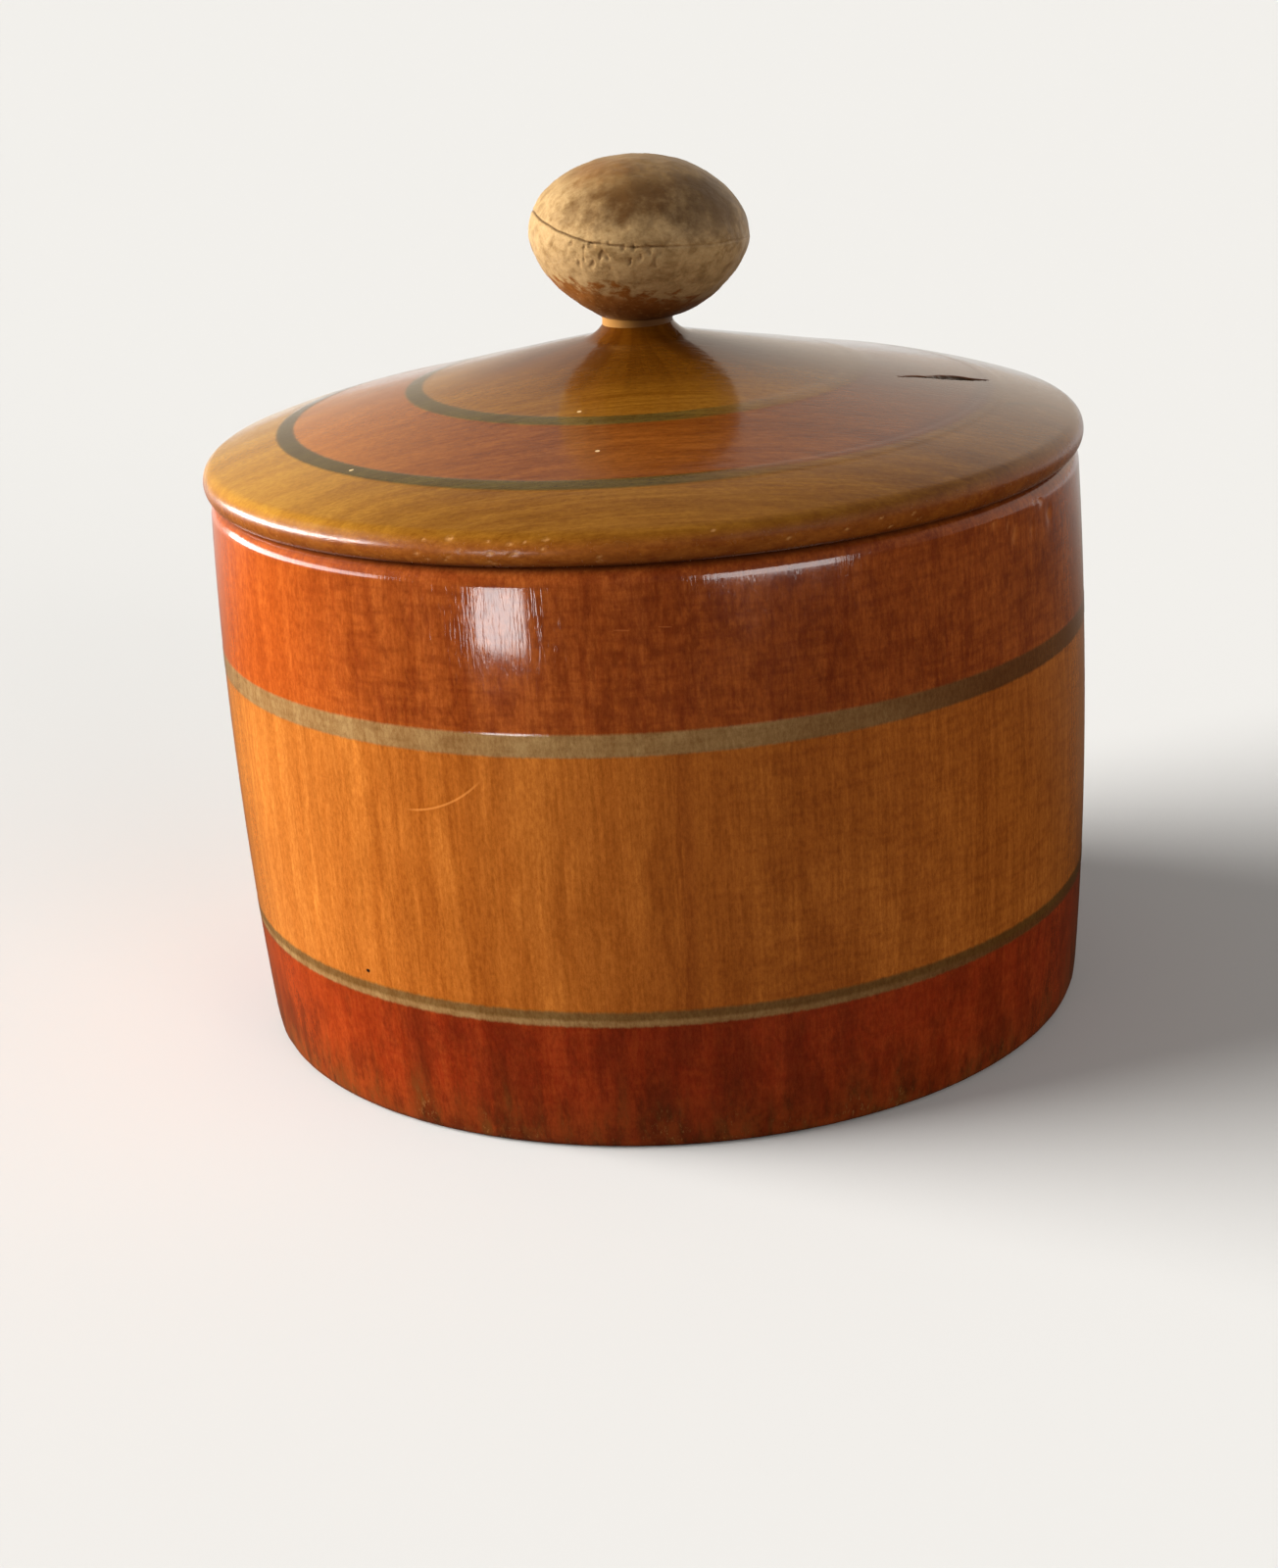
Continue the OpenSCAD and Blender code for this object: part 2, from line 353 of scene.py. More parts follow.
def scuffs(points, seed, count, angles, heights, sizes):
    """Small knocks strewn over a stretch of the rim or the shoulder: 1 at the middle of each."""
    draw = np.random.default_rng(seed)
    flat = np.array([1, 1, SCUFF_FLATNESS])
    out = np.zeros(len(points))
    for _ in range(count):
        angle, height = math.radians(draw.uniform(*angles)), draw.uniform(*heights)
        off_angle = np.abs(np.arctan2(points[:, 1], points[:, 0]) - angle)
        off_height = np.abs(points[:, 2] - height)
        radius = np.hypot(points[:, 0], points[:, 1])
        # The point nearest to that angle and height, and on the outside rather than the inside
        beside = points[np.argmin(off_angle + 0.2 * off_height - 0.01 * radius)]
        out = np.maximum(out, dent(points * flat, beside * flat, draw.uniform(*sizes)))
    return out


def body_scuffs(points):
    """Knocks on the shoulder at the right."""
    knocks = scuffs(points, seed=7, count=8, angles=(-44, -26), heights=(58.5, 62.6), sizes=(0.3, 0.6))
    return np.maximum(knocks, dent(points, SHOULDER_CHIP, 1.0))


def lid_scuffs(points):
    """Knocks along the front of the lid's rim."""
    heights = (BODY_H + 0.6, BODY_H + 3.0)
    left = scuffs(points, seed=5, count=16, angles=(-122, -102), heights=heights, sizes=(0.25, 0.65))
    right = scuffs(points, seed=6, count=10, angles=(-102, -50), heights=heights, sizes=(0.25, 0.5))
    return np.maximum(left, right)


def lid_splits(points):
    """The gouge in the lid, where a splinter broke out along the grain: 1 along its middle."""
    strands = [split(points, places, width) for *places, width in LID_SPLITS]
    return np.maximum.reduce(strands) * (points[:, 2] > BODY_H + RIM_MID_H)


def body_relief(points):
    """How far the body's surface stands out of its true outline."""
    height = points[:, 2]
    outside = np.hypot(points[:, 0], points[:, 1]) > MOUTH_R + 1
    out = BODY_LUMPS[0] * uneven(points, BODY_LUMPS[1], seed=3)
    for low, high in (LOWER_LINE, UPPER_LINE):
        out += outside * LINE_RAISE * groove(height, low, high, 0.3)
    out -= BODY_SCUFF_DEPTH * body_scuffs(points)
    worn = (1 - ease(0.3, FOOT_WEAR_H, height)) * outside
    out -= worn * FOOT_WEAR[0] * (1 + uneven(points, FOOT_WEAR[1], seed=9))
    return out * ease(0.05, FOOT_ROUND, height)


def lid_relief(points):
    """How far the lid's surface stands out of its true outline."""
    radius = np.hypot(points[:, 0], points[:, 1])
    top = points[:, 2] > BODY_H + RIM_MID_H
    out = LID_LUMPS[0] * uneven(points, LID_LUMPS[1], seed=5)
    for low, high in (OUTER_LINE, INNER_LINE):
        out += top * LINE_RAISE * groove(radius, low, high, 0.5)
    out -= LID_SPLIT_DEPTH * ease(0, 0.6, lid_splits(points))
    return out - LID_SCUFF_DEPTH * lid_scuffs(points)


def score_mark(points):
    """The knob's scored line, which wavers, breaks up and climbs to the left: 1 along its middle."""
    across, along = points[:, 0], points[:, 1]
    around = points * np.array([1, 1, 0])
    left = np.clip(-across / KNOB_R, 0, 1)
    line = LID_TOP + KNOB_SCORE_H + KNOB_SCORE_RISE * left ** KNOB_SCORE_BEND
    above = points[:, 2] - line - KNOB_SCORE_WAVER * uneven(around, 2.2, seed=4)
    gaps = 0.3 + 0.5 * ease(-0.3, 0.2, uneven(around, 1.1, seed=6))
    broken = 1 - ease(-7, -3, across) * (1 - gaps)
    fading = 1 - 0.7 * ease(0, 7, across)
    front = 1 - ease(-2, 3, along)
    return broken * fading * front * np.clip(1 - np.abs(above) / KNOB_SCORE_W, 0, 1)


def knob_pits(points):
    """Pits bruised into the knob below the middle of the scored line."""
    across, along = points[:, 0], points[:, 1]
    below = LID_TOP + KNOB_SCORE_H - points[:, 2]
    zone = groove(below, -0.4, 2.4, 0.8) * (1 - ease(3.5, 7, np.abs(across + 2.5))) * (along < 0)
    return zone * ease(0.1, 0.5, uneven(points * np.array([1, 1, 0.6]), 0.62, seed=11))


def knob_relief(points):
    """How far the knob's worn surface stands out of its true outline."""
    head = ease(LID_TOP + COLLAR_H, LID_TOP + COLLAR_H + 2, points[:, 2])
    out = KNOB_LUMPS[0] * uneven(points, KNOB_LUMPS[1], seed=2)
    out += KNOB_DIMPLES[0] * uneven(points, KNOB_DIMPLES[1], seed=8)
    out += KNOB_PORES[0] * uneven(points, KNOB_PORES[1], seed=13)
    out -= KNOB_SCORE_DEPTH * score_mark(points) + KNOB_PIT_DEPTH * knob_pits(points)
    return head * out


def lean(points):
    """Move the knob, and the lid round its socket, to where the knob was glued."""
    radius = np.hypot(points[:, 0], points[:, 1])
    rise = points[:, 2] - LID_TOP
    near = np.where(rise > 0.01, 1, 1 - ease(COLLAR_R, LEAN_REACH, radius))
    near = np.where(points[:, 2] < TENON_FOOT - 2 * SOCKET_GAP, 0, near)
    tilt = math.radians(KNOB_LEAN) * ease(0, 2 * COLLAR_H, rise)
    across = points[:, 0].copy()
    points[:, 0] = across * np.cos(tilt) + rise * np.sin(tilt) + near * KNOB_SHIFT
    points[:, 2] = LID_TOP + rise * np.cos(tilt) - across * np.sin(tilt)
    return points


def turn(name, outline, relief, marks, turn_angles, leaning=False):
    """Turn an outline about the axis into a closed mesh with its relief and its marks, as an object."""
    rows, first_z, last_z = outline
    rows = np.array(rows)
    tangent = np.gradient(np.vstack([[0, first_z], rows, [0, last_z]]), axis=0)[1:-1]
    normal = np.stack([tangent[:, 1], -tangent[:, 0]], axis=1)
    normal /= np.linalg.norm(normal, axis=1)[:, None]
    angles = np.radians(turn_angles)
    cos, sin = np.cos(angles), np.sin(angles)

    def around(profile):
        """Places, or directions, of a profile at every angle of the turn."""
        return np.stack([np.outer(profile[:, 0], cos), np.outer(profile[:, 0], sin),
                         np.repeat(profile[:, 1:2], len(angles), axis=1)], axis=-1).reshape(-1, 3)

    points = around(rows)
    marked = {label: mark(points) for label, mark in marks.items()}
    points += relief(points)[:, None] * around(normal)
    points = np.vstack([points, [[0, 0, first_z], [0, 0, last_z]]])
    if leaning:
        points = lean(points)
    count = len(angles)
    first, last = len(points) - 2, len(points) - 1
    grid = np.arange(len(rows) * count).reshape(len(rows), count)
    beside = np.roll(grid, -1, axis=1)
    quads = np.stack([grid[:-1], beside[:-1], beside[1:], grid[1:]], axis=-1).reshape(-1, 4).tolist()
    under = [(first, b, a) for a, b in zip(grid[0].tolist(), beside[0].tolist())]
    over = [(a, b, last) for a, b in zip(grid[-1].tolist(), beside[-1].tolist())]
    mesh = bpy.data.meshes.new(name)
    mesh.from_pydata((points * MM).tolist(), [], quads + under + over)
    mesh.polygons.foreach_set("use_smooth", [True] * len(mesh.polygons))
    mesh.set_sharp_from_angle(angle=math.radians(SHARP_EDGE))
    for label, values in marked.items():
        attribute = mesh.attributes.new(label, "FLOAT", "POINT")
        attribute.data.foreach_set("value", [*values.tolist(), 0, 0])
    piece = bpy.data.objects.new(name, mesh)
    bpy.context.scene.collection.objects.link(piece)
    return piece


def whole_turn(coarse, finer):
    """Angles of one turn in degrees, from the back round the front, finer inside each span."""
    return steps(-180, 180, coarse, finer)[:-1]


jar_body = turn("jar_body", body_outline(), body_relief, {"scuffs": body_scuffs},
                whole_turn(coarse=1.5, finer=BODY_FINE))
jar_lid = turn("jar_lid", lid_outline(), lid_relief, {"scuffs": lid_scuffs, "splits": lid_splits},
               whole_turn(coarse=1.8, finer=LID_FINE), leaning=True)
jar_knob = turn("jar_knob", knob_outline(), knob_relief, {"score": score_mark, "pits": knob_pits},
                whole_turn(coarse=1, finer=KNOB_FINE), leaning=True)


def rgb(red, green, blue):
    """A screen colour from 0 to 255 as the linear colour that a node takes."""
    def linear(value):
        part = value / 255
        return part / 12.92 if part <= 0.04045 else ((part + 0.055) / 1.055) ** 2.4
    return linear(red), linear(green), linear(blue), 1


def add(tree, kind, inputs=None, **settings):
    """Add a node, set it up, and give each named or numbered input a value or a link."""
    made = tree.nodes.new(kind)
    for key, value in settings.items():
        setattr(made, key, value)
    for key, value in (inputs or {}).items():
        if isinstance(value, bpy.types.NodeSocket):
            tree.links.new(value, made.inputs[key])
        else:
            made.inputs[key].default_value = value
    return made


def calc(tree, operation, *values, clamp=False):
    """A math node's value."""
    inputs = dict(enumerate(values))
    return add(tree, "ShaderNodeMath", inputs, operation=operation, use_clamp=clamp).outputs[0]


def vector(tree, operation, *values):
    """A vector math node's vector."""
    return add(tree, "ShaderNodeVectorMath", dict(enumerate(values)), operation=operation).outputs[0]


def measure(tree, operation, *values):
    """A vector math node's number, such as a length."""
    return add(tree, "ShaderNodeVectorMath", dict(enumerate(values)), operation=operation).outputs["Value"]


def scaled(tree, value, factor):
    """A vector made longer by a factor."""
    return add(tree, "ShaderNodeVectorMath", {0: value, "Scale": factor}, operation="SCALE").outputs[0]


def mix(tree, factor, first, second, blend="MIX"):
    """A colour between two others."""
    # The colours of this node are its inputs 6 and 7 and its output 2
    inputs = {0: factor, 6: first, 7: second}
    return add(tree, "ShaderNodeMix", inputs, data_type="RGBA", blend_type=blend).outputs[2]


def fade(tree, value, low, high, start=0.0, stop=1.0):
    """A soft ramp of a value, from start at low to stop at high."""
    inputs = {"Value": value, "From Min": low, "From Max": high, "To Min": start, "To Max": stop}
    return add(tree, "ShaderNodeMapRange", inputs, interpolation_type="SMOOTHSTEP").outputs[0]


def fade_out(tree, value, low, high):
    """A soft ramp of a value, from 1 at low to 0 at high."""
    return fade(tree, value, low, high, 1.0, 0.0)


def speckle(tree, place, scale, detail=3.0, roughness=0.55, distortion=0.0):
    """A noise value, with scale in lumps per millimetre."""
    inputs = {"Vector": place, "Scale": scale, "Detail": detail, "Roughness": roughness,
              "Distortion": distortion}
    return add(tree, "ShaderNodeTexNoise", inputs).outputs[0]


def group(name, vectors, values, outputs):
    """A node group with named vectors and values going in; returns it with its ends in and out."""
    tree = bpy.data.node_groups.new(name, "ShaderNodeTree")
    sockets = [(label, "INPUT", "NodeSocketVector") for label in vectors]
    sockets += [(label, "INPUT", "NodeSocketFloat") for label in values]
    sockets += [(label, "OUTPUT", "NodeSocketFloat") for label in outputs]
    for label, side, kind in sockets:
        tree.interface.new_socket(label, in_out=side, socket_type=kind)
    return tree, add(tree, "NodeGroupInput").outputs, add(tree, "NodeGroupOutput").inputs


def grain_group():
    """Turned wood: rings about the pith, marks along and across the grain, and clouds of stain."""
    tree, into, out = group(
        "Turned wood grain", ["Place", "Pith", "Along", "Across", "Fleck"], [],
        ["Rings", "Streaks", "Fibres", "Ripples", "Flecks", "Clouds", "Blotches", "Grit"])
    along = vector(tree, "MULTIPLY", into["Place"], into["Along"])
    across = vector(tree, "MULTIPLY", into["Place"], into["Across"])
    fleck = vector(tree, "MULTIPLY", into["Place"], into["Fleck"])
    off_pith = vector(tree, "SUBTRACT", into["Place"], into["Pith"])
    from_pith = measure(tree, "LENGTH", vector(tree, "MULTIPLY", off_pith, into["Along"]))
    wander = calc(tree, "MULTIPLY_ADD", speckle(tree, into["Place"], 0.06, 2.0), 6.0, from_pith)
    year_inputs = {"W": wander, "Scale": 0.45, "Detail": 2.0}
    years = add(tree, "ShaderNodeTexNoise", year_inputs, noise_dimensions="1D").outputs[0]
    ends = {
        "Rings": fade(tree, years, 0.35, 0.65),
        "Streaks": fade(tree, speckle(tree, along, 0.24, 4.0, 0.62, 0.2), 0.3, 0.7),
        "Fibres": fade(tree, speckle(tree, along, 1.6, 5.0, 0.75), 0.25, 0.75),
        "Ripples": fade(tree, speckle(tree, across, 1.1, 3.0), 0.4, 0.7),
        "Flecks": fade(tree, speckle(tree, fleck, 0.7, 5.0, 0.66, 0.3), 0.4, 0.72),
        "Clouds": fade(tree, speckle(tree, into["Place"], 0.05, 3.0), 0.35, 0.65),
        "Blotches": fade(tree, speckle(tree, fleck, 0.28, 5.0, 0.7), 0.44, 0.62),
        "Grit": fade(tree, speckle(tree, fleck, 2.6, 4.0, 0.8), 0.3, 0.7),
    }
    for label, value in ends.items():
        tree.links.new(value, out[label])
    return tree


def band_group():
    """A stained band between two levels, with edges that bleed and fray into the fibres."""
    tree, into, out = group(
        "Stained band", [], ["Level", "Low", "High", "Bleed", "Fray", "Fibres"], ["Mask"])
    fibres = calc(tree, "SUBTRACT", into["Fibres"], 0.5)
    frayed = calc(tree, "MULTIPLY_ADD", fibres, into["Fray"], into["Level"])
    half = calc(tree, "MULTIPLY", into["Bleed"], 0.5)

    def past(edge):
        """How far the frayed level is past an edge, from 0 to 1."""
        return fade(tree, frayed, calc(tree, "SUBTRACT", edge, half), calc(tree, "ADD", edge, half))

    below_high = calc(tree, "SUBTRACT", 1.0, past(into["High"]))
    tree.links.new(calc(tree, "MULTIPLY", past(into["Low"]), below_high), out["Mask"])
    return tree


def spot_group():
    """A patch round a place, with a ragged and more or less soft edge."""
    tree, into, out = group(
        "Ragged spot", ["Place", "Centre", "Reach"], ["Ragged", "Lumps", "Soft"], ["Mask"])
    offset = vector(tree, "SUBTRACT", into["Place"], into["Centre"])
    far = measure(tree, "LENGTH", vector(tree, "DIVIDE", offset, into["Reach"]))
    lumps = speckle(tree, into["Place"], into["Lumps"], 4.0, 0.65)
    ragged = calc(tree, "MULTIPLY_ADD", calc(tree, "SUBTRACT", lumps, 0.5), into["Ragged"], far)
    solid = calc(tree, "SUBTRACT", 1.0, into["Soft"])
    tree.links.new(fade_out(tree, ragged, solid, 1.0), out["Mask"])
    return tree


def hairline_group():
    """A fine scratch, straight between two places and thinner at its ends."""
    tree, into, out = group("Hairline", ["Place", "Start", "End"], ["Width"], ["Mask"])
    run = vector(tree, "SUBTRACT", into["End"], into["Start"])
    off = vector(tree, "SUBTRACT", into["Place"], into["Start"])
    along = calc(tree, "DIVIDE", measure(tree, "DOT_PRODUCT", off, run),
                 measure(tree, "DOT_PRODUCT", run, run), clamp=True)
    away = measure(tree, "LENGTH", vector(tree, "SUBTRACT", off, scaled(tree, run, along)))
    ends = calc(tree, "MULTIPLY", calc(tree, "MULTIPLY", along, calc(tree, "SUBTRACT", 1.0, along)), 4.0)
    width = calc(tree, "MULTIPLY", into["Width"], calc(tree, "SQRT", calc(tree, "ADD", ends, 0.02)))
    tree.links.new(fade_out(tree, calc(tree, "DIVIDE", away, width), 0.3, 0.55), out["Mask"])
    return tree


def lacquer_group():
    """An old hand-rubbed lacquer: its roughness, and the height of its ripples over the grain."""
    tree, into, out = group(
        "Rubbed lacquer", ["Place", "Along"], ["Gloss", "Fibres"], ["Roughness", "Height"])
    smears = fade(tree, speckle(tree, into["Place"], 0.12, 4.0, 0.6), 0.4, 0.75)
    scuffed = fade(tree, speckle(tree, into["Place"], 2.4, 3.0, 0.7), 0.62, 0.75)
    rough = calc(tree, "MULTIPLY_ADD", smears, 0.06, into["Gloss"])
    rough = calc(tree, "MULTIPLY_ADD", scuffed, 0.1, rough)
    swells = speckle(tree, into["Place"], 0.22, 2.0)
    wavy = vector(tree, "MULTIPLY", into["Place"], into["Along"])
    lines = calc(tree, "MULTIPLY", fade(tree, speckle(tree, wavy, 3.0, 2.0, 0.6, 0.6), 0.3, 0.55), 6.0)
    height = calc(tree, "MULTIPLY_ADD", swells, 10.0, lines)
    height = calc(tree, "MULTIPLY_ADD", into["Fibres"], 0.2, height)
    tree.links.new(rough, out["Roughness"])
    tree.links.new(height, out["Height"])
    return tree


def bowed_group():
    """A fine bowed line: where a ball cuts the surface, within a reach of the line's middle."""
    tree, into, out = group(
        "Bowed scratch", ["Place", "Centre", "Middle"], ["Radius", "Reach", "Width"], ["Mask"])
    off = measure(tree, "DISTANCE", into["Place"], into["Centre"])
    away = calc(tree, "ABSOLUTE", calc(tree, "SUBTRACT", off, into["Radius"]))
    far = calc(tree, "DIVIDE", measure(tree, "DISTANCE", into["Place"], into["Middle"]), into["Reach"])
    line = fade_out(tree, calc(tree, "DIVIDE", away, into["Width"]), 0.2, 0.5)
    tree.links.new(calc(tree, "MULTIPLY", line, fade_out(tree, far, 0.6, 1.0)), out["Mask"])
    return tree


GRAIN = grain_group()
BAND = band_group()
SPOT = spot_group()
HAIRLINE = hairline_group()
BOWED = bowed_group()
LACQUER = lacquer_group()


class Finish:
    """One piece's material while it is built up: its place on the jar and its colour so far."""

    def __init__(self, name, pith, along, across, fleck, ripple):
        self.material = bpy.data.materials.new(name)
        self.material.use_nodes = True
        self.tree = self.material.node_tree
        self.shader = self.tree.nodes["Principled BSDF"]
        metres = add(self.tree, "ShaderNodeTexCoord").outputs["Object"]
        self.place = scaled(self.tree, metres, 1 / MM)
        parts = add(self.tree, "ShaderNodeSeparateXYZ", {0: self.place}).outputs
        self.x, self.y, self.height = parts[0], parts[1], parts[2]
        self.outward = vector(self.tree, "MULTIPLY", self.place, (1, 1, 0))
        self.radius = measure(self.tree, "LENGTH", self.outward)
        self.ripple = ripple
        self.grain = self.use(GRAIN, {"Place": self.place, "Pith": pith, "Along": along, "Across": across,
                                      "Fleck": fleck})
        self.colour = None

    def use(self, node_group, inputs):
        """Place a node group and return its outputs."""
        return add(self.tree, "ShaderNodeGroup", inputs, node_tree=node_group).outputs

    def mark(self, label):
        """A mark cut into the mesh, as a mask."""
        return add(self.tree, "ShaderNodeAttribute", attribute_name=label).outputs["Fac"]

    def between(self, factor, first, second, strength=1.0):
        """A colour between two others."""
        return mix(self.tree, calc(self.tree, "MULTIPLY", factor, strength), first, second)

    def lay(self, mask, colour, strength=1.0):
        """Lay a colour over what is there, through a mask."""
        self.colour = self.between(mask, self.colour, colour, strength)

    def darken(self, mask, colour, strength=1.0):
        """Multiply a colour into what is there, through a mask."""
        factor = calc(self.tree, "MULTIPLY", mask, strength)
        self.colour = mix(self.tree, factor, self.colour, colour, "MULTIPLY")

    def both(self, first, second):
        """Where two masks meet."""
        return calc(self.tree, "MULTIPLY", first, second)

    def band(self, level, low, high, bleed, fray):
        """A stained band between two levels of a value, as a mask."""
        inputs = {"Level": level, "Low": low, "High": high, "Bleed": bleed, "Fray": fray,
                  "Fibres": self.grain["Fibres"]}
        return self.use(BAND, inputs)["Mask"]

    def spot(self, centre, reach, ragged=0.8, lumps=0.5, soft=0.3):
        """A ragged patch round a centre, as a mask."""
        inputs = {"Place": self.place, "Centre": centre, "Reach": reach, "Ragged": ragged, "Lumps": lumps,
                  "Soft": soft}
        return self.use(SPOT, inputs)["Mask"]

    def hairline(self, start, end, width):
        """A straight scratch between two places, as a mask."""
        inputs = {"Place": self.place, "Start": start, "End": end, "Width": width}
        return self.use(HAIRLINE, inputs)["Mask"]

    def bowed(self, places, width):
        """A bowed line through three places, as a mask."""
        centre, radius = bow(*places)
        inputs = {"Place": self.place, "Centre": centre, "Radius": radius, "Middle": places[1],
                  "Reach": (places[2] - places[0]).length / 2, "Width": width}
        return self.use(BOWED, inputs)["Mask"]

    def lacquer(self, gloss, bare=None, bare_roughness=0.6, bump_height=LACQUER_BUMP):
        """Join the colour to the shader, under lacquer or, inside the bare mask, without it."""
        inputs = {"Place": self.place, "Along": self.ripple, "Gloss": gloss,
                  "Fibres": self.grain["Fibres"]}
        skin = self.use(LACQUER, inputs)
        rough = skin["Roughness"]
        if bare is not None:
            lacquered = self.both(rough, calc(self.tree, "SUBTRACT", 1.0, bare))
            rough = calc(self.tree, "MULTIPLY_ADD", bare, bare_roughness, lacquered)
        bump = add(self.tree, "ShaderNodeBump", {"Height": skin["Height"], "Distance": bump_height * MM})
        self.tree.links.new(self.colour, self.shader.inputs["Base Color"])
        self.tree.links.new(rough, self.shader.inputs["Roughness"])
        self.tree.links.new(bump.outputs[0], self.shader.inputs["Normal"])
        self.shader.inputs["Specular IOR Level"].default_value = SHINE
        return self.material


def bare_wood(wood):
    """The unstained wood of the inside and the underside."""
    pale = wood.between(wood.grain["Fibres"], rgb(225, 179, 119), rgb(195, 144, 87))
    return wood.between(wood.grain["Rings"], pale, rgb(184, 131, 76), 0.55)


def body_finish():
    """Red-brown and yellow stain in bands round upright grain, with olive lines between them."""
    wood = Finish("stained_body", pith=(-58, 64, 0), along=(1, 1, 0.05), across=(0.22, 0.22, 1),
                  fleck=(1, 1, 0.45), ripple=(1, 1, 0.1))
    tree, grain, height = wood.tree, wood.grain, wood.height
    right = fade(tree, wood.x, 0, 10)
    yellow = wood.between(grain["Fibres"], rgb(200, 120, 46), rgb(163, 92, 30))
    yellow = wood.between(grain["Streaks"], yellow, rgb(140, 70, 18), 0.4)
    yellow = wood.between(wood.both(grain["Ripples"], right), yellow, rgb(119, 46, 7), 0.25)
    front = fade_out(tree, wood.y, -5, 5)
    streak = wood.both(wood.band(wood.x, *BODY_STREAK, bleed=1.6, fray=1.4), front)
    yellow = wood.between(streak, yellow, rgb(121, 48, 9), 0.35)
    # Painted light: the left of the yellow and red bands is painted lighter, as if lit by the daylight
    painted_light_left = fade_out(tree, wood.x, -47, -24)
    yellow = wood.between(painted_light_left, yellow, rgb(222, 144, 64), 0.4)
    red = wood.between(grain["Fibres"], rgb(178, 97, 40), rgb(148, 70, 25))
    red = wood.between(grain["Flecks"], red, rgb(106, 39, 14), 0.62)
    red = wood.between(grain["Ripples"], red, rgb(115, 45, 16), 0.46)
    red = wood.between(grain["Streaks"], red, rgb(115, 39, 7), 0.25)
    red = wood.between(painted_light_left, red, rgb(204, 96, 29), 0.6)
    deep_red = wood.between(fade(tree, wood.x, -12, 30), rgb(142, 35, 12), rgb(154, 44, 16))
    foot_red = wood.between(fade_out(tree, height, *LOWER_LINE), red, deep_red, 0.65)
    soaked = wood.both(grain["Streaks"], wood.band(wood.x, -32, 0, bleed=16, fray=4))
    foot_red = wood.between(soaked, foot_red, rgb(84, 20, 8), 0.45)
    foot_red = wood.between(grain["Blotches"], foot_red, rgb(84, 24, 9), 0.4)
    olive = wood.between(grain["Ripples"], rgb(156, 124, 80), rgb(144, 111, 69))
    # Painted reflection and shade: the olive lines are paler at the front and painted darker towards the
    # right
    line = wood.between(fade(tree, wood.x, 4, 42), olive, rgb(92, 50, 16), 0.9)
    wood.colour = yellow
    wood.lay(wood.band(height, -5, LOWER_LINE[0] + 0.2, bleed=0.5, fray=0.4), foot_red)
    wood.lay(wood.band(height, UPPER_LINE[1] - 0.2, BODY_H + 5, bleed=0.5, fray=0.3), red)
    wood.lay(wood.band(height, *UPPER_LINE, bleed=0.4, fray=0.1), line)
    wood.lay(wood.band(height, *LOWER_LINE, bleed=0.45, fray=0.2), line)
    dark_edge = wood.band(height, LOWER_LINE[0] + 0.7, LOWER_LINE[1] + 0.1, bleed=0.5, fray=0.2)
    wood.lay(dark_edge, rgb(99, 69, 28), 0.7)
    wood.darken(grain["Clouds"], rgb(212, 190, 170), 0.35)
    wood.darken(grain["Rings"], rgb(214, 192, 166), 0.4)
    wood.darken(grain["Grit"], rgb(206, 190, 170), 0.8)
    ragged = calc(tree, "MULTIPLY_ADD", grain["Streaks"], -7.0, height)
    dirt = wood.both(fade_out(tree, ragged, -4, 6), fade(tree, grain["Flecks"], 0.0, 0.9, 0.5, 1.0))
    wood.lay(dirt, wood.between(grain["Blotches"], rgb(94, 54, 20), rgb(58, 31, 10)), 0.8)
    knocked = wood.both(fade(tree, grain["Grit"], 0.7, 1.0), fade_out(tree, ragged, -5, 1))
    wood.lay(knocked, rgb(150, 98, 52), 0.5)
    wood.lay(wood.bowed(BODY_SCRATCH, 0.3), rgb(225, 144, 66), 0.4)
    for ends in BAND_SCRATCHES:
        wood.lay(wood.hairline(*ends, 0.2), rgb(218, 126, 64), 0.2)
    wood.lay(wood.spot(BODY_SPECK, (0.45, 0.45, 0.35)), rgb(28, 14, 7))
    # Painted shade: the top of the rim, where the lid sits on it, is painted dark
    wood.lay(fade(tree, height, BODY_H - 1.0, BODY_H - 0.1), rgb(62, 30, 12), 0.75)
    inside = fade_out(tree, wood.radius, MOUTH_R + 1.2, MOUTH_R + 2.2)
    ring = fade_out(tree, wood.radius, MOUTH_R + 0.6, MOUTH_R + 2.2)
    under = wood.both(fade_out(tree, height, FOOT_HOLLOW + 0.1, FOOT_HOLLOW + 0.5), ring)
    hollow = wood.both(inside, fade(tree, height, FLOOR_T - 2, FLOOR_T - 1))
    bare = calc(tree, "MAXIMUM", hollow, under)
    wood.lay(bare, bare_wood(wood))
    wood.lay(wood.mark("scuffs"), rgb(195, 119, 60), 0.4)
    return wood.lacquer(fade(tree, height, BODY_H - 2.4, BODY_H - 1.0, 0.07, 0.11), bare)


